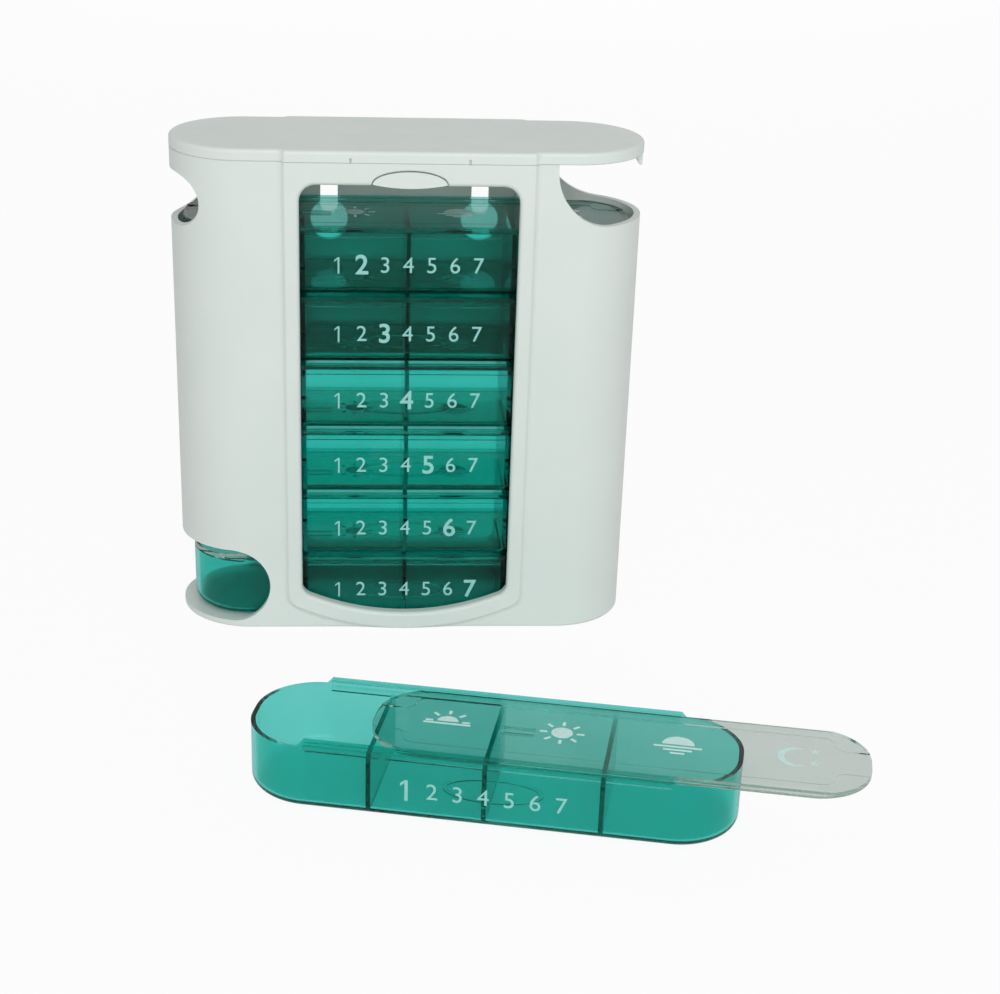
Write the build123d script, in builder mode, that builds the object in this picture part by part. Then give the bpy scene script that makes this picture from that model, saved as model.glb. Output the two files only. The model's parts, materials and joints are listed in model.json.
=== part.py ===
from build123d import *
import math
import os

# Weekly pill tower: seven day trays with sliding lids, stacked in a white tube with round ends.
# Six trays stand in the tower. The first day's tray lies in front of it with its lid partly open.
# Lengths are in millimetres, angles in degrees. The origin is the middle of the tower's underside.

# Day tray
tray_count = 7
tray_length = 124.0
tray_depth = 35.6
tray_end_flat = 3.6
tray_wall = 1.2
tray_bottom_radius = 3.0
rim_height = 17.3
rail_height = 1.7
rail_setback = 0.5
rail_end_run = 1.6
lip_reach = 0.9
lip_height = 0.6
ledge_height = 1.4
end_compartment_extra = 4.0
divider_count = 3
divider_wall = 1.2
divider_drop = 0.4
foot_length = 26.0
foot_width = 12.0
foot_wall = 1.0
foot_height = 0.3

# Sliding lid
lid_seat_gap = 0.15
lid_side_gap = 0.25
lid_lip_gap = 0.2
lid_thickness = 1.45
lid_panel_recess = 0.3
lid_border = 4.6
lid_border_end = 9.0
lid_tab_width = 11.4
lid_bend_share = 0.48
finger_length = 8.6
finger_width = 3.0
finger_slit = 0.5

# Tower
stack_gap = 0.25
play_along = 1.7
play_across = 0.9
wall = 1.8
floor_thickness = 2.0
roof_clearance = 0.55
roof_plate = 1.6
roof_skirt = 3.3
roof_edge_radius = 1.0
base_edge_radius = 0.7
seam_chamfer = 0.25

# Raised centre panel and window
panel_raise = 1.2
panel_slope_angle = 40.0
panel_corner_radius = 5.0
panel_edge_radius = 0.6
panel_valley_radius = 1.6
window_overlap = 0.8
window_border = 4.9
window_lower_border = 5.7
window_head = 6.0
window_sill = 5.1
window_arc_radius = 70.0
window_top_radius = 4.6
window_bottom_radius = 3.6
window_edge_radius = 1.2
brow_edge_radius = 0.4

# Openings in the tower's ends
loading_width = 25.4
loading_sill = 1.1
loading_corner_radius = 15.5
notch_radius = 7.3
notch_inset = 1.4
notch_rise = 5.5
exit_reach = 26.3
exit_clearance = 2.95

# Wall hanging slots and lower window in the back
keyhole_spacing = 43.6
keyhole_head_radius = 5.4
keyhole_slot_width = 5.0
keyhole_rise = 10.1
keyhole_drop = 26.3
back_window_sill = 9.5
back_window_height = 59.5

# Roof details
hook_outer_inset = 0.9
hook_root = 2.1
hook_tip = 0.8
hook_drop = 3.0
hook_width = 12.0
tick_spacing = 32.0
tick_width = 0.6
tick_height = 1.4
tick_depth = 0.9

# Press latch at the head of the window
latch_width = 20.0
latch_arc_rise = 3.4
latch_arc_drop = 1.0
latch_end_rise = 0.5
latch_gap = 0.25
latch_proud = 0.3
tongue_width = 16.0
tongue_wall = 0.8
tongue_back_gap = 0.15

# Loose tray on the table
loose_tray_side = 19.6
loose_tray_front = 95.3
loose_tray_turn = -12.8
loose_lid_open = 31.2

# Cuts run this far past the faces they open
overrun = 2.0
# Edges this close to a plane lie on it
tolerance = 0.001

# Sizes that follow from the ones above
tray_corner_radius = (tray_depth - tray_end_flat) / 2
tray_height = rim_height + rail_height
rail_length = tray_length - 2 * (tray_corner_radius + rail_setback)
compartment_pitch = (tray_length - 2 * end_compartment_extra) / (divider_count + 1)
tray_pitch = foot_height + tray_height + stack_gap
divider_height = rim_height - divider_drop
lid_length = tray_length
lid_width = tray_depth - 2 * (tray_wall + lid_side_gap)
lid_corner_radius = tray_corner_radius - tray_wall - lid_side_gap
lid_top_width = lid_width - 2 * lip_reach
lid_panel_radius = lid_bend_share * (lid_width / 2 - lid_border - lid_tab_width / 2)
lid_flange = rail_height - lip_height - lid_seat_gap - lid_lip_gap
lid_seat = foot_height + rim_height + lid_seat_gap

housing_width = tray_length + 2 * (play_along + wall)
housing_depth = tray_depth + 2 * (play_across + wall)
roof_underside = floor_thickness + tray_count * tray_pitch + roof_clearance
housing_height = roof_underside + roof_plate
seam_height = housing_height - roof_skirt
shaft_width = housing_width - 2 * wall
shaft_depth = housing_depth - 2 * wall
stack_bottom = floor_thickness + stack_gap
second_tray_top = stack_bottom + (tray_count - 1) * tray_pitch - stack_gap
exit_top = stack_bottom + foot_height + tray_height + exit_clearance

window_width = 2 * (compartment_pitch + window_overlap)
panel_width = window_width + 2 * window_border
panel_front = housing_depth / 2 + panel_raise
panel_inset = panel_raise * math.tan(math.radians(panel_slope_angle))
pocket_width = panel_width - 2 * wall - 2 * panel_inset
pocket_depth = 2 * (panel_front - wall)
window_top = seam_height - window_head
window_arc_center = window_sill + window_arc_radius
window_corner = window_arc_center - math.sqrt(window_arc_radius**2 - (window_width / 2) ** 2)
panel_arc_radius = window_arc_radius + window_lower_border
panel_corner = window_arc_center - math.sqrt(panel_arc_radius**2 - (panel_width / 2) ** 2)
pocket_bottom = panel_corner + panel_corner_radius

latch_level = window_top + latch_end_rise
latch_bottom = latch_level - latch_arc_drop
tongue_front = panel_front - wall - tongue_back_gap
tongue_top = seam_height - latch_gap

front_plane = Plane(origin=(0, -housing_depth / 2, 0), x_dir=(1, 0, 0), z_dir=(0, -1, 0))
back_plane = Plane(origin=(0, housing_depth / 2, 0), x_dir=(-1, 0, 0), z_dir=(0, 1, 0))
middle_plane = Plane(origin=(0, 0, 0), x_dir=(1, 0, 0), z_dir=(0, -1, 0))

os.makedirs("parts", exist_ok=True)


def export_piece(piece, name):
    piece.label = name
    export_step(piece, f"parts/{name}.step")


def side_plane(plane, side, level):
    """Upright plane on a tray's long outer face, with its normal pointing out of the tray."""
    origin = plane.from_local_coords((0, side * tray_depth / 2, level))
    return Plane(origin=origin, x_dir=plane.x_dir * -side, z_dir=plane.y_dir * side)


def build_tray(plane, name):
    """Open tray standing on the plane: rounded tub, dividers, lid rails and an oval foot."""
    with BuildPart() as tray:
        with BuildSketch(plane.offset(foot_height)):
            RectangleRounded(tray_length, tray_depth, tray_corner_radius)
        extrude(amount=rim_height)
        fillet(tray.edges().group_by(Axis.Z)[0], tray_bottom_radius)
        offset(amount=-tray_wall, openings=tray.faces().sort_by(Axis.Z)[-1])

        # Dividers reach half a wall into the tub
        for index in range(divider_count):
            divider_x = (index - (divider_count - 1) / 2) * compartment_pitch
            origin = plane.from_local_coords((divider_x, 0, foot_height + tray_wall / 2))
            with BuildSketch(Plane(origin=origin, x_dir=plane.y_dir, z_dir=plane.x_dir)) as divider:
                Rectangle(
                    tray_depth - tray_wall,
                    divider_height - tray_wall / 2,
                    align=(Align.CENTER, Align.MIN),
                )
                fillet(divider.vertices().group_by(Axis.Y)[0], tray_bottom_radius - tray_wall / 2)
            extrude(amount=divider_wall / 2, both=True)

        # Lid rails with slanted ends, the lips that hold the lid down and the ledges that carry it
        for side in (-1, 1):
            with BuildSketch(side_plane(plane, side, foot_height + rim_height)):
                with BuildLine():
                    Polyline(
                        (-rail_length / 2 - rail_end_run, 0),
                        (rail_length / 2 + rail_end_run, 0),
                        (rail_length / 2, rail_height),
                        (-rail_length / 2, rail_height),
                        close=True,
                    )
                make_face()
            extrude(amount=-tray_wall)
            for level, height in ((tray_height, lip_height), (rim_height, ledge_height)):
                with BuildSketch(side_plane(plane, side, foot_height + level)):
                    Rectangle(rail_length, height, align=(Align.CENTER, Align.MAX))
                extrude(amount=-tray_wall - lip_reach)

        # Oval foot under the middle of the tray
        with BuildSketch(plane):
            Ellipse(foot_length / 2, foot_width / 2)
            Ellipse(foot_length / 2 - foot_wall, foot_width / 2 - foot_wall, mode=Mode.SUBTRACT)
        extrude(amount=foot_height)
    export_piece(tray.part, name)


def build_lid(plane, name):
    """Flat lid whose underside lies on the plane, with stepped long edges and a click finger."""
    with BuildPart() as lid:
        with BuildSketch(plane):
            RectangleRounded(lid_length, lid_width, lid_corner_radius)
        extrude(amount=lid_thickness)

        # Steps that run under the rail lips
        with BuildSketch(plane.offset(lid_flange)):
            for side in (-1, 1):
                with Locations((0, side * lid_top_width / 2)):
                    Rectangle(
                        lid_length + overrun,
                        lip_reach + overrun,
                        align=(Align.CENTER, Align.MIN if side > 0 else Align.MAX),
                    )
        extrude(amount=lid_thickness, mode=Mode.SUBTRACT)

        # Sunk panel that narrows to a finger tab at each end
        with BuildSketch(plane.offset(lid_thickness - lid_panel_recess)) as panel:
            Rectangle(lid_length - 2 * lid_border_end, lid_width - 2 * lid_border)
            Rectangle(lid_length + overrun, lid_tab_width)
            fillet(panel.vertices().filter_by(lambda v: abs(v.X) < lid_length / 2), lid_panel_radius)
        extrude(amount=lid_panel_recess + overrun, mode=Mode.SUBTRACT)

        # Springy click finger: a slit round three sides, over a divider when the lid is shut
        finger_tip = -compartment_pitch - finger_slit
        with BuildSketch(plane):
            with Locations((finger_tip, 0)):
                Rectangle(finger_slit, finger_width)
            for side in (-1, 1):
                with Locations((finger_tip - finger_slit / 2, side * finger_width / 2)):
                    Rectangle(finger_length, finger_slit, align=(Align.MIN, Align.CENTER))
        extrude(amount=lid_thickness, mode=Mode.SUBTRACT)
    export_piece(lid.part, name)


def latch_brow(gap):
    """Upper edge of the latch pad from right to left, or of its place with a gap round it."""
    return EllipticalCenterArc(
        (0, latch_level), latch_width / 2 + gap, latch_arc_rise + gap, start_angle=0, arc_size=180
    )


# Tower body: tube, floor, raised panels and every opening
with BuildPart() as housing_body:
    with BuildSketch():
        SlotOverall(housing_width, housing_depth)
    extrude(amount=seam_height)
    for panel_plane in (front_plane, back_plane):
        with BuildSketch(panel_plane) as panel:
            with BuildLine():
                lower_arc = ThreePointArc(
                    (-panel_width / 2, panel_corner),
                    (0, window_arc_center - panel_arc_radius),
                    (panel_width / 2, panel_corner),
                )
                Polyline(
                    lower_arc @ 1,
                    (panel_width / 2, housing_height + overrun),
                    (-panel_width / 2, housing_height + overrun),
                    lower_arc @ 0,
                )
            make_face()
            fillet(panel.vertices().group_by(Axis.Y)[0], panel_corner_radius)
        extrude(amount=panel_raise, taper=panel_slope_angle)
    split(bisect_by=Plane.XY.offset(seam_height), keep=Keep.BOTTOM)
    split(bisect_by=Plane.XY, keep=Keep.TOP)

    # Soft edges round both panels, with a wider valley where they rise from the tube
    for y_face in (-panel_front, panel_front):
        rise = [e for e in housing_body.edges() if abs(e.center().Y - y_face) < tolerance]
        fillet([e for e in rise if tolerance < e.center().Z < seam_height - tolerance], panel_edge_radius)
    for y_face in (-housing_depth / 2, housing_depth / 2):
        foot = [e for e in housing_body.edges() if abs(e.center().Y - y_face) < tolerance]
        foot = [e for e in foot if abs(e.center().X) < panel_width / 2 + tolerance]
        fillet([e for e in foot if tolerance < e.center().Z < seam_height - tolerance], panel_valley_radius)

    fillet(housing_body.edges().group_by(Axis.Z)[0], base_edge_radius)

    # Shaft for the trays, with a shallow pocket behind each raised panel
    with BuildSketch(Plane.XY.offset(floor_thickness)):
        SlotOverall(shaft_width, shaft_depth)
    extrude(amount=seam_height, mode=Mode.SUBTRACT)
    with BuildSketch(Plane.XY.offset(pocket_bottom)):
        Rectangle(pocket_width, pocket_depth)
    extrude(amount=seam_height, mode=Mode.SUBTRACT)

    # Window in the front, with room for the latch at its head
    with BuildSketch(front_plane.offset(panel_raise + overrun)) as window:
        with BuildLine():
            sill = ThreePointArc(
                (-window_width / 2, window_corner),
                (0, window_sill),
                (window_width / 2, window_corner),
            )
            Polyline(
                sill @ 1,
                (window_width / 2, window_top),
                (-window_width / 2, window_top),
                sill @ 0,
            )
        make_face()
        fillet(window.vertices().group_by(Axis.Y)[0], window_bottom_radius)
        fillet(window.vertices().group_by(Axis.Y)[-1], window_top_radius)
        with BuildLine():
            head = latch_brow(latch_gap)
            Polyline(
                head @ 1,
                (-latch_width / 2 - latch_gap, window_top - latch_arc_drop),
                (latch_width / 2 + latch_gap, window_top - latch_arc_drop),
                head @ 0,
            )
        make_face()
    extrude(amount=-(panel_raise + overrun + housing_depth / 2), mode=Mode.SUBTRACT)
    # A soft edge round the window, and a crisp one round the button
    window_rim = housing_body.faces().sort_by(Axis.Y)[0].inner_wires()[0]
    fillet([e for e in window_rim.edges() if e.center().Z < window_top + tolerance], window_edge_radius)
    brow_rim = housing_body.faces().sort_by(Axis.Y)[0].inner_wires()[0]
    fillet(brow_rim.edges().sort_by(Axis.Z)[-1], brow_edge_radius)

    # Loading opening at the top right, finger notch at the top left, exit at the bottom left
    with BuildSketch(middle_plane) as end_cuts:
        with Locations((housing_width / 2 - loading_width, second_tray_top + loading_sill)):
            Rectangle(
                loading_width + overrun,
                seam_height + overrun - second_tray_top - loading_sill,
                align=(Align.MIN, Align.MIN),
            )
        fillet(end_cuts.vertices().group_by(Axis.Y)[0].sort_by(Axis.X)[0], loading_corner_radius)
        with Locations((-housing_width / 2 + notch_inset, second_tray_top + notch_rise)):
            Circle(notch_radius)
        exit_radius = (exit_top - floor_thickness) / 2
        with Locations((-housing_width / 2 + exit_reach - exit_radius, floor_thickness + exit_radius)):
            Circle(exit_radius)
        with Locations((-housing_width / 2 - overrun, floor_thickness)):
            Rectangle(
                exit_reach - exit_radius + overrun,
                2 * exit_radius,
                align=(Align.MIN, Align.MIN),
            )
    extrude(amount=housing_depth, both=True, mode=Mode.SUBTRACT)

    # Keyholes for two wall screws, and the lower window in the back
    with BuildSketch(back_plane.offset(panel_raise + overrun)):
        with GridLocations(keyhole_spacing, 0, 2, 1):
            with Locations((0, seam_height - keyhole_drop)):
                Circle(keyhole_head_radius)
                Rectangle(keyhole_slot_width, keyhole_rise, align=(Align.CENTER, Align.MIN))
            with Locations((0, seam_height - keyhole_drop + keyhole_rise)):
                Circle(keyhole_slot_width / 2)
        with Locations((0, back_window_sill + back_window_height / 2)):
            RectangleRounded(window_width, back_window_height, window_top_radius)
    extrude(amount=-(panel_raise + overrun + housing_depth / 2), mode=Mode.SUBTRACT)
export_piece(housing_body.part, "housing_body")

# Roof cap: shallow lid with a skirt, a retaining hook over the loading opening
with BuildPart() as roof_cap:
    with BuildSketch(Plane.XY.offset(seam_height)) as roof_plan:
        SlotOverall(housing_width, housing_depth)
        for side in (-1, 1):
            with BuildLine():
                Polyline(
                    (-panel_width / 2, 0),
                    (-panel_width / 2, side * housing_depth / 2),
                    (-panel_width / 2 + panel_inset, side * panel_front),
                    (panel_width / 2 - panel_inset, side * panel_front),
                    (panel_width / 2, side * housing_depth / 2),
                    (panel_width / 2, 0),
                    close=True,
                )
            make_face()
        bends = [v for v in roof_plan.vertices() if abs(abs(v.X) - panel_width / 2) < tolerance]
        fillet(bends, panel_valley_radius)
        bends = [v for v in roof_plan.vertices() if abs(abs(v.Y) - panel_front) < tolerance]
        fillet(bends, panel_edge_radius)
    extrude(amount=roof_skirt)
    fillet(roof_cap.faces().sort_by(Axis.Z)[-1].edges(), roof_edge_radius)
    chamfer(roof_cap.faces().sort_by(Axis.Z)[0].edges(), seam_chamfer)
    with BuildSketch(Plane.XY.offset(seam_height)):
        SlotOverall(shaft_width, shaft_depth)
    extrude(amount=roof_underside - seam_height, mode=Mode.SUBTRACT)

    hook_outer = housing_width / 2 - hook_outer_inset
    with BuildSketch(middle_plane):
        with BuildLine():
            Polyline(
                (hook_outer, roof_underside + roof_plate / 2),
                (hook_outer, seam_height - hook_drop),
                (hook_outer - hook_tip, seam_height - hook_drop),
                (hook_outer - hook_root, seam_height),
                (hook_outer - hook_root, roof_underside + roof_plate / 2),
                close=True,
            )
        make_face()
    extrude(amount=hook_width / 2, both=True)

    with BuildSketch(front_plane.offset(panel_raise)):
        with Locations((0, seam_height)):
            with GridLocations(tick_spacing, 0, 2, 1):
                Rectangle(tick_width, 2 * tick_height)
    extrude(amount=-tick_depth, mode=Mode.SUBTRACT)
export_piece(roof_cap.part, "roof_cap")

# Press latch: lens shaped pad on a springy tongue that hangs under the roof skirt
with BuildPart() as latch_button:
    with BuildSketch(front_plane.offset(panel_raise + latch_proud)):
        with BuildLine():
            brow = latch_brow(0)
            ThreePointArc(brow @ 1, (0, latch_bottom), brow @ 0)
        make_face()
    extrude(amount=-(panel_front + latch_proud - tongue_front))
    with BuildSketch(middle_plane.offset(tongue_front)):
        with Locations((0, tongue_top)):
            Rectangle(tongue_width, tongue_top - latch_level, align=(Align.CENTER, Align.MAX))
    extrude(amount=-tongue_wall)
export_piece(latch_button.part, "latch_button")

# Day trays and lids: the first lies on the table, the last is at the bottom of the stack
turn = math.radians(loose_tray_turn)
for day in range(1, tray_count + 1):
    if day == 1:
        tray_plane = Plane(
            origin=(loose_tray_side, -panel_front - loose_tray_front, 0),
            x_dir=(math.cos(turn), math.sin(turn), 0),
        )
        lid_offset = loose_lid_open
    else:
        tray_plane = Plane.XY.offset(stack_bottom + (tray_count - day) * tray_pitch)
        lid_offset = 0
    build_tray(tray_plane, f"tray_{day}")
    lid_origin = tray_plane.from_local_coords((lid_offset, 0, lid_seat))
    build_lid(Plane(origin=lid_origin, x_dir=tray_plane.x_dir), f"lid_{day}")
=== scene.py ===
import json
import math

import bmesh
import bpy
from mathutils import Matrix, Vector


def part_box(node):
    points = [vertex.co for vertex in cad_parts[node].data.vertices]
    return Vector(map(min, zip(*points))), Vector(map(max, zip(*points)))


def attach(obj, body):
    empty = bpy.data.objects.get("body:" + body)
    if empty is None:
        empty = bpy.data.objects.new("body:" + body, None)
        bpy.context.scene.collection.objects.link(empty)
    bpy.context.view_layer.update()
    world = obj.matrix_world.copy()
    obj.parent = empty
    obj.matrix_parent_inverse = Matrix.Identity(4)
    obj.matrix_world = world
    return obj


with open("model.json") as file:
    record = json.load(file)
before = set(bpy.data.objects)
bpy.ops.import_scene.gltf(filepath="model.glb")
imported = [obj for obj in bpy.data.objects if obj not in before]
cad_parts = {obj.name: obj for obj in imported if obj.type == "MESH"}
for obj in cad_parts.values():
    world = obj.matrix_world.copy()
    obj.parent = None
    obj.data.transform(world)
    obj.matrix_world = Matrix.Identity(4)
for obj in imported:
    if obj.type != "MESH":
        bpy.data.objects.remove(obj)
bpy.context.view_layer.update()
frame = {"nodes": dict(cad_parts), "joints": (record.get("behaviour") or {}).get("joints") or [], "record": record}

# The looks of a tower pill organizer: white moulded tower, see-through teal day trays, clear lids.
# Lengths are in metres, angles in degrees, colours are linear.
MM = 0.001
QUARTER_TURN = 90
HALF_TURN = 180
FULL_TURN = 360

# Camera at the photograph's viewing angle, with focal length and optical centre in its pixels
IMAGE_WIDTH = 1000
IMAGE_HEIGHT = 994
FOCAL_PIXELS = 2042.8
CENTRE_PIXEL_X = 475.0
CENTRE_PIXEL_Y = 617.0
CAMERA_PLACE = Vector((-0.0204, -0.56407, 0.26571))
CAMERA_PITCH = 25.713
CAMERA_YAW = 4.352
CAMERA_ROLL = 1.739
SENSOR_WIDTH = 36.0
CLIP_START = 0.01
CLIP_END = 50.0

# Studio
FLOOR_HALF = 4.0
FLOOR_DROP = 0.2 * MM
FLOOR_COLOUR = (0.86, 0.86, 0.86, 1)
PURE_WHITE = (1, 1, 1, 1)
FLOOR_SEEN = 0.92
SKY_SEEN = 0.96
WHITE_THROUGH = 0.35
AMBIENT = 0.52
KEY_PLACE = Vector((0.05, -1.25, 0.70))
KEY_WATTS = 10.2
FILL_PLACE = Vector((0.10, 1.30, 0.35))
FILL_WATTS = 3.2
LAMP_SIZE = 1.0
AIM = Vector((0.0, 0.0, 0.07))
LIGHT_BOUNCES = 28

# Colours
WHITE_A = (0.70, 0.755, 0.722, 1)
WHITE_B = (0.665, 0.725, 0.69, 1)
INK_A = (0.29, 0.63, 0.59, 1)
INK_B = (0.23, 0.55, 0.51, 1)
LID_INK_A = (0.66, 0.90, 0.86, 1)
LID_INK_B = (0.57, 0.81, 0.77, 1)
TEAL_A = (0.26, 0.835, 0.775, 1)
TEAL_B = (0.23, 0.815, 0.75, 1)
TEAL_SHADE = (0.25, 0.55, 0.58, 1)
TEAL_DEPTH = (0.02, 0.775, 0.753, 1)
TEAL_DENSITY = 210.0
# Lid tint at each wall: partly the plastic's own haze, and partly painted shade, a grey that stands in for dark
# surroundings mirrored in the lid and for the shadow under it
CLEAR_HAZE_AND_PAINTED_SHADE_A = (0.67, 0.73, 0.70, 1)
CLEAR_HAZE_AND_PAINTED_SHADE_B = (0.64, 0.70, 0.67, 1)
CLEAR_SHADE = (0.92, 0.95, 0.94, 1)
CLEAR_DEPTH = (0.5, 0.7, 0.6, 1)
CLEAR_DENSITY = 30.0
PLASTIC_IOR = 1.22

# Surface detail: noise scales in waves per metre, and ranges of roughness
NOISE_LOW = 0.3
NOISE_HIGH = 0.7
NOISE_DETAIL = 3.0
CLOUD_SCALE = 28.0
GRAIN_SCALE = 2600.0
GRAIN_DETAIL = 2.0
GRAIN_STRENGTH = 0.12
GRAIN_HEIGHT = 0.03 * MM
WHITE_GLOSS_SCALE = 170.0
WHITE_ROUGHNESS = (0.30, 0.44)
WHITE_SPECULAR = 0.4
TINT_SCALE = 60.0
RIPPLE_SCALE = 95.0
RIPPLE_DETAIL = 2.0
RIPPLE_STRENGTH = 0.10
RIPPLE_HEIGHT = 0.1 * MM
CLEAR_GLOSS_SCALE = 240.0
CLEAR_ROUGHNESS = (0.02, 0.09)
INK_COVER_SCALE = 900.0
INK_GLOSS_SCALE = 1500.0
INK_ROUGHNESS = (0.45, 0.65)

# Print
INK_THICKNESS = 0.04 * MM
NUMERAL_HEIGHT = 4.6 * MM
OWN_NUMERAL_HEIGHT = 5.6 * MM
NUMERAL_PITCH = 6.4 * MM
NUMERAL_LEVEL = 8.8 * MM
FONT_CAP_SHARE = 0.73
THIN_WEIGHT = 0.0
BOLD_WEIGHT = 0.12 * MM
ONE_STROKE_SHARE = 0.105
ONE_FLAG_REACH_SHARE = 0.2
ONE_FLAG_DROP_SHARE = 0.17
DAYS = range(1, 8)
CELL_PITCH = 29.0 * MM
LID_PANEL_RECESS = 0.3 * MM
SIGN_BACK = 1.0 * MM
SUN_RADIUS = 2.7 * MM
RAY_START = 3.7 * MM
RAY_END = 5.6 * MM
LOW_SUN_RAYS = 5
HIGH_SUN_RAYS = 8
LINE_WIDTH = 0.8 * MM
HORIZON_WIDTH = 12.0 * MM
HORIZON_SHARES = (1.0, 0.6, 0.3)
SETTING_SUN_SHARE = 1.5
MOON_RADIUS = 4.6 * MM
MOON_TIP_ANGLES = (60, 300)
MOON_HOLLOW_SHARE = 0.9
STAR_RADIUS = 1.3 * MM
STAR_POINTS = 5
STAR_NOTCH_SHARE = 0.45
STAR_SIDE = 4.6 * MM
STAR_LEVELS = (3.4 * MM, -2.6 * MM)
ARC_STEP = 10


def body_of(node):
    """The name of the body that a node rides on."""
    for body, members in frame["record"]["behaviour"]["bodies"].items():
        if node in members:
            return body


def loose_direction():
    """The long direction of the loose tray, which its lid slides along."""
    for joint in frame["joints"]:
        if joint["name"] == "day_1_lid_slide":
            return Vector(joint["axis"])


def local_frame(node, loose):
    """A node's own axes: x along the tray, y to its back, z up, origin under its middle."""
    low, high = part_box(node)
    middle = (low + high) / 2
    along = loose_direction() if loose else Vector((1, 0, 0))
    up = Vector((0, 0, 1))
    axes = Matrix((along, up.cross(along), up)).transposed().to_4x4()
    axes.translation = (middle.x, middle.y, low.z)
    return axes


# Materials


def start_material(name):
    """An empty node material and its tree."""
    material = bpy.data.materials.new(name)
    material.use_nodes = True
    material.node_tree.nodes.clear()
    return material, material.node_tree


def add(tree, kind, **inputs):
    """A node whose named sockets hold a value or are linked to another node's socket."""
    node = tree.nodes.new(kind)
    for name, value in inputs.items():
        socket = node.inputs[name.replace("_", " ")]
        if isinstance(value, bpy.types.NodeSocket):
            tree.links.new(value, socket)
        else:
            socket.default_value = value
    return node


def object_noise(tree, scale, detail=NOISE_DETAIL):
    """Noise fixed to the object, with scale in waves per metre."""
    place = add(tree, "ShaderNodeTexCoord").outputs["Object"]
    return add(tree, "ShaderNodeTexNoise", Vector=place, Scale=scale, Detail=detail).outputs["Fac"]


def spread(tree, value, low, high):
    """A noise value stretched over the range from low to high."""
    node = tree.nodes.new("ShaderNodeMapRange")
    tree.links.new(value, node.inputs["Value"])
    node.inputs["From Min"].default_value = NOISE_LOW
    node.inputs["From Max"].default_value = NOISE_HIGH
    node.inputs["To Min"].default_value = low
    node.inputs["To Max"].default_value = high
    return node.outputs["Result"]


def mix_colours(tree, share, first, second):
    """A blend of two colours by a share from 0 to 1."""
    node = tree.nodes.new("ShaderNodeMix")
    node.data_type = "RGBA"
    tree.links.new(share, node.inputs["Factor"])
    colours = [socket for socket in node.inputs if socket.type == "RGBA"]
    colours[0].default_value = first
    colours[1].default_value = second
    return [socket for socket in node.outputs if socket.type == "RGBA"][0]


def bump(tree, height, strength, distance):
    """A normal roughened by a height value."""
    node = add(tree, "ShaderNodeBump", Height=height, Strength=strength, Distance=distance)
    return node.outputs["Normal"]


def white_plastic():
    """Satin white moulding: faint cloudiness, fine grain and uneven gloss."""
    material, tree = start_material("white_moulding")
    cloud = spread(tree, object_noise(tree, CLOUD_SCALE), 0.0, 1.0)
    grain = object_noise(tree, GRAIN_SCALE, GRAIN_DETAIL)
    gloss = spread(tree, object_noise(tree, WHITE_GLOSS_SCALE), *WHITE_ROUGHNESS)
    shader = add(
        tree,
        "ShaderNodeBsdfPrincipled",
        Base_Color=mix_colours(tree, cloud, WHITE_A, WHITE_B),
        Roughness=gloss,
        Normal=bump(tree, grain, GRAIN_STRENGTH, GRAIN_HEIGHT),
        Specular_IOR_Level=WHITE_SPECULAR,
    )
    output = add(tree, "ShaderNodeOutputMaterial")
    tree.links.new(shader.outputs["BSDF"], output.inputs["Surface"])
    return material


def clear_moulding(name, first, second, shade, inside, density):
    """See-through plastic that tints light at each wall and with depth, and lets lamps through."""
    material, tree = start_material(name)
    gloss = spread(tree, object_noise(tree, CLEAR_GLOSS_SCALE), *CLEAR_ROUGHNESS)
    ripple = object_noise(tree, RIPPLE_SCALE, RIPPLE_DETAIL)
    tint = spread(tree, object_noise(tree, TINT_SCALE), 0.0, 1.0)
    shader = add(
        tree,
        "ShaderNodeBsdfPrincipled",
        Base_Color=mix_colours(tree, tint, first, second),
        Roughness=gloss,
        Normal=bump(tree, ripple, RIPPLE_STRENGTH, RIPPLE_HEIGHT),
        Transmission_Weight=1.0,
        IOR=PLASTIC_IOR,
    )
    open_film = add(tree, "ShaderNodeBsdfTransparent", Color=shade)
    mix = tree.nodes.new("ShaderNodeMixShader")
    tree.links.new(add(tree, "ShaderNodeLightPath").outputs["Is Shadow Ray"], mix.inputs[0])
    tree.links.new(shader.outputs["BSDF"], mix.inputs[1])
    tree.links.new(open_film.outputs["BSDF"], mix.inputs[2])
    depth = add(tree, "ShaderNodeVolumeAbsorption", Color=inside, Density=density)
    output = add(tree, "ShaderNodeOutputMaterial")
    tree.links.new(mix.outputs["Shader"], output.inputs["Surface"])
    tree.links.new(depth.outputs["Volume"], output.inputs["Volume"])
    return material


def ink(name, first, second):
    """Screen print: matt, with slightly uneven cover."""
    material, tree = start_material(name)
    cover = spread(tree, object_noise(tree, INK_COVER_SCALE), 0.0, 1.0)
    shader = add(
        tree,
        "ShaderNodeBsdfPrincipled",
        Base_Color=mix_colours(tree, cover, first, second),
        Roughness=spread(tree, object_noise(tree, INK_GLOSS_SCALE), *INK_ROUGHNESS),
    )
    output = add(tree, "ShaderNodeOutputMaterial")
    tree.links.new(shader.outputs["BSDF"], output.inputs["Surface"])
    return material


def calculate(tree, operation, first, second):
    """A Math node of a socket with a number or another socket."""
    node = tree.nodes.new("ShaderNodeMath")
    node.operation = operation
    tree.links.new(first, node.inputs[0])
    if isinstance(second, bpy.types.NodeSocket):
        tree.links.new(second, node.inputs[1])
    else:
        node.inputs[1].default_value = second
    return node.outputs[0]


def white_share(tree, seen):
    """How far the studio shows as white: most to the camera, less in mirrors and through plastic."""
    path = add(tree, "ShaderNodeLightPath")
    largest = calculate(tree, "MULTIPLY", path.outputs["Is Camera Ray"], seen)
    for name in ("Is Glossy Ray", "Is Transmission Ray"):
        share = calculate(tree, "MULTIPLY", path.outputs[name], WHITE_THROUGH)
        largest = calculate(tree, "MAXIMUM", largest, share)
    return largest


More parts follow.
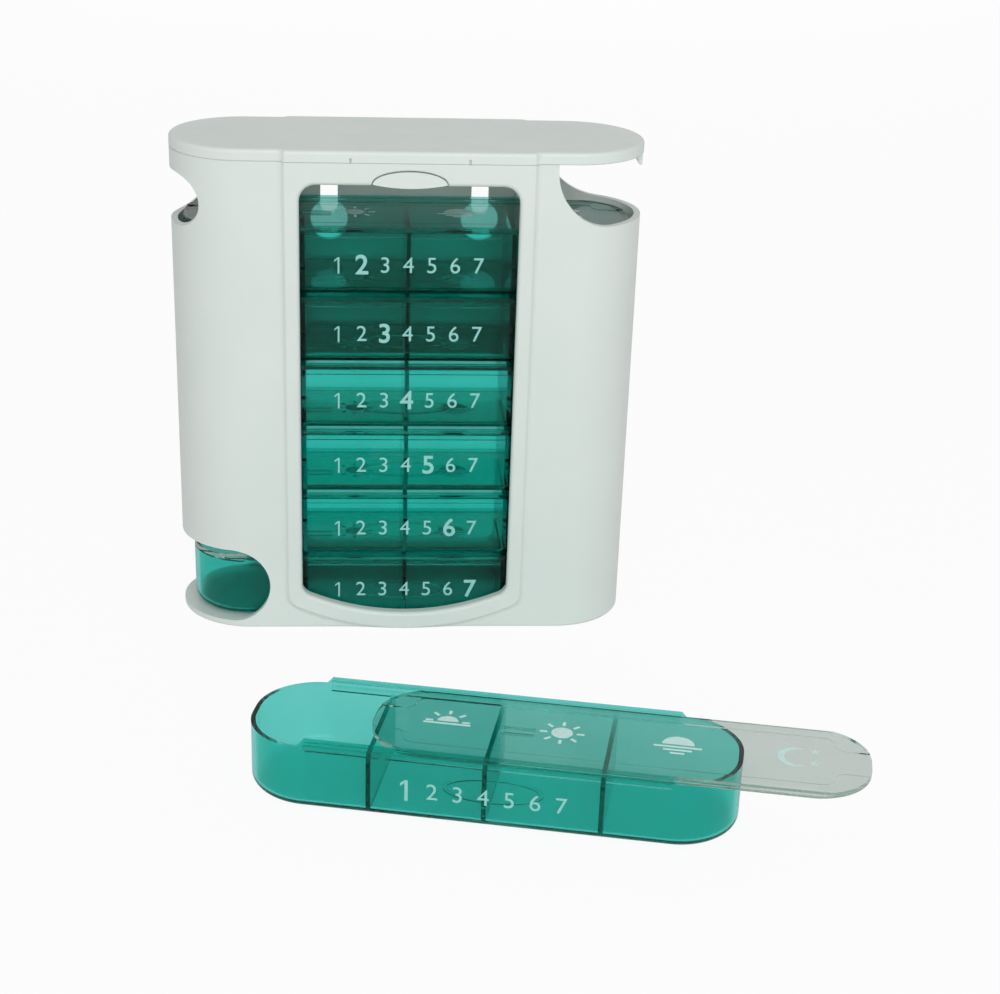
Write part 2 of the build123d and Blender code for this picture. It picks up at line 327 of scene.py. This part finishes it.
def floor_material():
    """White paper that shows as white, and keeps a soft shadow."""
    material, tree = start_material("studio_paper")
    paper = add(tree, "ShaderNodeBsdfDiffuse", Color=FLOOR_COLOUR)
    white = add(tree, "ShaderNodeEmission", Color=PURE_WHITE, Strength=1.0)
    mix = tree.nodes.new("ShaderNodeMixShader")
    tree.links.new(white_share(tree, FLOOR_SEEN), mix.inputs[0])
    tree.links.new(paper.outputs["BSDF"], mix.inputs[1])
    tree.links.new(white.outputs["Emission"], mix.inputs[2])
    output = add(tree, "ShaderNodeOutputMaterial")
    tree.links.new(mix.outputs["Shader"], output.inputs["Surface"])
    return material


def dress(node, material):
    """Gives a node of the frame its finished material."""
    slots = frame["nodes"][node].data.materials
    slots.clear()
    slots.append(material)


# Print


def mesh_object(name, mesh, axes, body, material):
    """A printed piece placed by its own axes, riding on a body."""
    piece = bpy.data.objects.new(name, mesh)
    bpy.context.scene.collection.objects.link(piece)
    piece.matrix_world = axes
    mesh.materials.append(material)
    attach(piece, body)
    return piece


def add_prism(shape, outline):
    """A flat closed outline of ink, as thick as the print."""
    low = [shape.verts.new((x, y, -INK_THICKNESS / 2)) for x, y in outline]
    high = [shape.verts.new((x, y, INK_THICKNESS / 2)) for x, y in outline]
    shape.faces.new(low[::-1])
    shape.faces.new(high)
    for i in range(len(low)):
        shape.faces.new((low[i - 1], low[i], high[i], high[i - 1]))


def prism_mesh(name, outlines):
    """One mesh of flat ink for all the outlines."""
    shape = bmesh.new()
    for outline in outlines:
        add_prism(shape, outline)
    mesh = bpy.data.meshes.new(name)
    shape.to_mesh(mesh)
    shape.free()
    return mesh


def one_outline(height, weight):
    """The numeral one: an upright stroke with a sloping flag at its top left."""
    stroke = height * ONE_STROKE_SHARE + 2 * weight
    left = -stroke / 2
    right = stroke / 2
    foot = -height / 2 - weight
    top = height / 2 + weight
    tip = left - height * ONE_FLAG_REACH_SHARE
    tip_level = top - height * ONE_FLAG_DROP_SHARE
    return [
        (left, foot),
        (right, foot),
        (right, top),
        (left, top),
        (tip, tip_level),
        (tip, tip_level - stroke),
        (left, top - stroke),
    ]


def numeral_mesh(number, height, weight):
    """A flat numeral centred on the origin, in the xy plane."""
    if number == 1:
        return prism_mesh("numeral", [one_outline(height, weight)])
    curve = bpy.data.curves.new("numeral", "FONT")
    curve.body = str(number)
    curve.align_x = "CENTER"
    curve.align_y = "CENTER"
    curve.size = height / FONT_CAP_SHARE
    curve.offset = weight
    curve.extrude = INK_THICKNESS / 2
    holder = bpy.data.objects.new("numeral", curve)
    mesh = bpy.data.meshes.new_from_object(holder)
    bpy.data.objects.remove(holder)
    bpy.data.curves.remove(curve)
    return mesh


def week_strip(own_day):
    """The numbers of the week's days in a row, with the tray's own number large and bold."""
    strip = bmesh.new()
    middle = (DAYS[0] + DAYS[-1]) / 2
    for day in DAYS:
        own = day == own_day
        height = OWN_NUMERAL_HEIGHT if own else NUMERAL_HEIGHT
        mesh = numeral_mesh(day, height, BOLD_WEIGHT if own else THIN_WEIGHT)
        mesh.transform(Matrix.Translation(((day - middle) * NUMERAL_PITCH, 0, 0)))
        strip.from_mesh(mesh)
        bpy.data.meshes.remove(mesh)
    joined = bpy.data.meshes.new(f"print_day_{own_day}")
    strip.to_mesh(joined)
    strip.free()
    return joined


def print_tray(day, material):
    """Numbers on the front wall of a tray, which is as deep as tray_2, a tray that stands square."""
    node = f"tray_{day}"
    low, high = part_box("tray_2")
    depth = high.y - low.y
    axes = local_frame(node, day == DAYS[0])
    face = Matrix.Translation((0, -depth / 2 - INK_THICKNESS, NUMERAL_LEVEL))
    upright = Matrix.Rotation(math.radians(QUARTER_TURN), 4, "X")
    piece = week_strip(day)
    mesh_object(f"print_day_{day}", piece, axes @ face @ upright, body_of(node), material)


def arc(radius, start, end, place=(0, 0)):
    """Points on an arc, from one angle to another."""
    count = round(abs(end - start) / ARC_STEP)
    angles = [math.radians(start + (end - start) * i / count) for i in range(count + 1)]
    return [(place[0] + radius * math.cos(a), place[1] + radius * math.sin(a)) for a in angles]


def rays(start, end, count):
    """Short bars round the sun, spread from one angle to another."""
    bars = []
    for i in range(count):
        turn = math.radians(start + (end - start) * i / (count - 1))
        out = Vector((math.cos(turn), math.sin(turn)))
        side = Vector((-out.y, out.x)) * LINE_WIDTH / 2
        near = out * RAY_START
        far = out * RAY_END
        bars.append([tuple(corner) for corner in (near - side, far - side, far + side, near + side)])
    return bars


def bar(width, level):
    """A level line below the sun."""
    half = width / 2
    return [(-half, level - LINE_WIDTH), (half, level - LINE_WIDTH), (half, level), (-half, level)]


def crescent():
    """A moon open to the right: a round back, and a hollow circle shifted to the side."""
    hollow_radius = MOON_RADIUS * MOON_HOLLOW_SHARE
    back = arc(MOON_RADIUS, *MOON_TIP_ANGLES)
    tip_x, tip_y = back[0]
    hollow_x = tip_x - math.sqrt(hollow_radius**2 - tip_y**2)
    tip_angle = math.degrees(math.atan2(tip_y, tip_x - hollow_x))
    return back + arc(hollow_radius, FULL_TURN - tip_angle, tip_angle, (hollow_x, 0))[1:-1]


def star(place):
    """A star with one point up."""
    points = []
    for i in range(2 * STAR_POINTS):
        reach = STAR_RADIUS if i % 2 == 0 else STAR_RADIUS * STAR_NOTCH_SHARE
        turn = math.radians(QUARTER_TURN + HALF_TURN / STAR_POINTS * i)
        points.append((place[0] + reach * math.cos(turn), place[1] + reach * math.sin(turn)))
    return points


def time_signs():
    """Outlines of the four times of day: rising sun, high sun, setting sun, moon and stars."""
    rising = [arc(SUN_RADIUS, 0, HALF_TURN), bar(HORIZON_WIDTH, -LINE_WIDTH)]
    rising += rays(0, HALF_TURN, LOW_SUN_RAYS)
    last_ray = FULL_TURN - FULL_TURN / HIGH_SUN_RAYS
    high = [arc(SUN_RADIUS, 0, FULL_TURN - ARC_STEP)] + rays(0, last_ray, HIGH_SUN_RAYS)
    lines = []
    for i, share in enumerate(HORIZON_SHARES):
        lines.append(bar(HORIZON_WIDTH * share, -LINE_WIDTH * (1 + 2 * i)))
    setting = [arc(SUN_RADIUS * SETTING_SUN_SHARE, 0, HALF_TURN)] + lines
    night = [crescent()] + [star((STAR_SIDE, level)) for level in STAR_LEVELS]
    return [rising, high, setting, night]


def sign_mesh(name, signs):
    """Flat ink for the four signs, each above its compartment."""
    placed = []
    for i, outlines in enumerate(signs):
        shift = (i - (len(signs) - 1) / 2) * CELL_PITCH
        for outline in outlines:
            placed.append([(x + shift, y + SIGN_BACK) for x, y in outline])
    return prism_mesh(name, placed)


def print_lid(day, material):
    """Signs for the times of day on a lid's sunk panel."""
    node = f"lid_{day}"
    low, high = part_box(node)
    axes = local_frame(node, day == DAYS[0])
    panel = Matrix.Translation((0, 0, high.z - low.z - LID_PANEL_RECESS + INK_THICKNESS / 2))
    name = f"print_lid_{day}"
    mesh_object(name, sign_mesh(name, time_signs()), axes @ panel, body_of(node), material)


# Dress the frame

white = white_plastic()
teal = clear_moulding("teal_moulding", TEAL_A, TEAL_B, TEAL_SHADE, TEAL_DEPTH, TEAL_DENSITY)
# The lids' grey tint is partly painted shade
clear = clear_moulding("clear_moulding", CLEAR_HAZE_AND_PAINTED_SHADE_A, CLEAR_HAZE_AND_PAINTED_SHADE_B, CLEAR_SHADE, CLEAR_DEPTH, CLEAR_DENSITY)
tray_ink = ink("tray_print", INK_A, INK_B)
lid_ink = ink("lid_print", LID_INK_A, LID_INK_B)
for node in ("housing_body", "roof_cap", "latch_button"):
    dress(node, white)
for day in DAYS:
    dress(f"tray_{day}", teal)
    dress(f"lid_{day}", clear)
    print_tray(day, tray_ink)
    print_lid(day, lid_ink)

# Studio


def lay_floor():
    """A wide sheet of white paper under the object."""
    half = FLOOR_HALF
    corners = [(-half, -half), (half, -half), (half, half), (-half, half)]
    mesh = bpy.data.meshes.new("floor")
    mesh.from_pydata([(x, y, -FLOOR_DROP) for x, y in corners], [], [(0, 1, 2, 3)])
    mesh.materials.append(floor_material())
    floor = bpy.data.objects.new("floor", mesh)
    bpy.context.scene.collection.objects.link(floor)


def light_world():
    """Even light from all round, which shows as white."""
    world = bpy.data.worlds.new("studio")
    world.use_nodes = True
    bpy.context.scene.world = world
    tree = world.node_tree
    tree.nodes.clear()
    level = tree.nodes.new("ShaderNodeMapRange")
    tree.links.new(white_share(tree, SKY_SEEN), level.inputs["Value"])
    level.inputs["To Min"].default_value = AMBIENT
    level.inputs["To Max"].default_value = 1.0
    backdrop = add(tree, "ShaderNodeBackground", Color=PURE_WHITE, Strength=level.outputs["Result"])
    output = tree.nodes.new("ShaderNodeOutputWorld")
    tree.links.new(backdrop.outputs["Background"], output.inputs["Surface"])


def hang_lamp(name, place, watts, mirrored):
    """A wide soft lamp aimed at the object, with or without a mirror image on the plastic."""
    lamp = bpy.data.lights.new(name, "AREA")
    lamp.size = LAMP_SIZE
    lamp.energy = watts
    holder = bpy.data.objects.new(name, lamp)
    holder.location = place
    holder.rotation_euler = (AIM - place).to_track_quat("-Z", "Y").to_euler()
    holder.visible_camera = False
    holder.visible_glossy = mirrored
    holder.visible_transmission = mirrored
    bpy.context.scene.collection.objects.link(holder)


lay_floor()
light_world()
hang_lamp("key", KEY_PLACE, KEY_WATTS, True)
hang_lamp("fill", FILL_PLACE, FILL_WATTS, False)

# Camera


def camera_axes():
    """The camera's right, up and backward directions from its pitch, yaw and roll."""
    pitch = math.radians(CAMERA_PITCH)
    yaw = math.radians(CAMERA_YAW)
    roll = math.radians(CAMERA_ROLL)
    look = Vector((math.sin(yaw) * math.cos(pitch), math.cos(yaw) * math.cos(pitch), -math.sin(pitch)))
    level_right = Vector((math.cos(yaw), -math.sin(yaw), 0))
    level_up = level_right.cross(look)
    right = math.cos(roll) * level_right + math.sin(roll) * level_up
    up = -math.sin(roll) * level_right + math.cos(roll) * level_up
    return Matrix((right, up, -look)).transposed()


camera_data = bpy.data.cameras.new("camera")
camera_data.sensor_fit = "HORIZONTAL"
camera_data.sensor_width = SENSOR_WIDTH
camera_data.lens = FOCAL_PIXELS / IMAGE_WIDTH * SENSOR_WIDTH
camera_data.shift_x = (IMAGE_WIDTH / 2 - CENTRE_PIXEL_X) / IMAGE_WIDTH
camera_data.shift_y = (CENTRE_PIXEL_Y - IMAGE_HEIGHT / 2) / IMAGE_WIDTH
camera_data.clip_start = CLIP_START
camera_data.clip_end = CLIP_END
camera = bpy.data.objects.new("camera", camera_data)
camera.matrix_world = Matrix.Translation(CAMERA_PLACE) @ camera_axes().to_4x4()
bpy.context.scene.collection.objects.link(camera)
bpy.context.scene.camera = camera
bpy.context.scene.view_settings.view_transform = "Standard"
bpy.context.scene.cycles.max_bounces = LIGHT_BOUNCES
bpy.context.scene.cycles.glossy_bounces = LIGHT_BOUNCES
bpy.context.scene.cycles.transmission_bounces = LIGHT_BOUNCES
